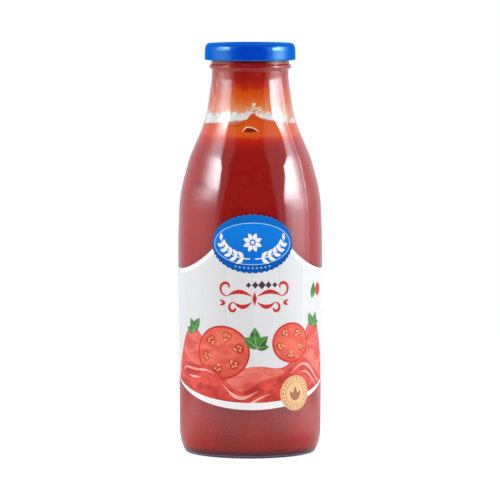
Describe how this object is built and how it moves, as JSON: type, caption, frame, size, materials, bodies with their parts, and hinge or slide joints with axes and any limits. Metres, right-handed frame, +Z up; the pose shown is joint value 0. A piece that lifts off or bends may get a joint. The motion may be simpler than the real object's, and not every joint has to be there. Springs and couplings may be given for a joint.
{
  "type": "jar of tomato pulp",
  "caption": "Tall glass jar in the form of a bottle, full of tomato pulp, shut by a pressed twist-off cap, with a wrap-round paper label.",
  "frame": {"origin": "on the jar's axis, in the plane that it stands on", "axes": "+Z up along the jar's axis towards the cap; the front of the label faces -Y, with +X to the viewer's right"},
  "size_m": [0.072, 0.0722, 0.2042],
  "materials": {
    "glass": "clear pressed and blown glass",
    "cap": "blue lacquered tinplate, smooth and glossy",
    "pulp": "wet, dense tomato pulp",
    "label": "coated paper with printed colour fields"
  },
  "bodies": {
    "root": {"bottle": "glass", "cap": "cap", "pulp": "pulp", "label": "label"}
  },
  "joints": []
}
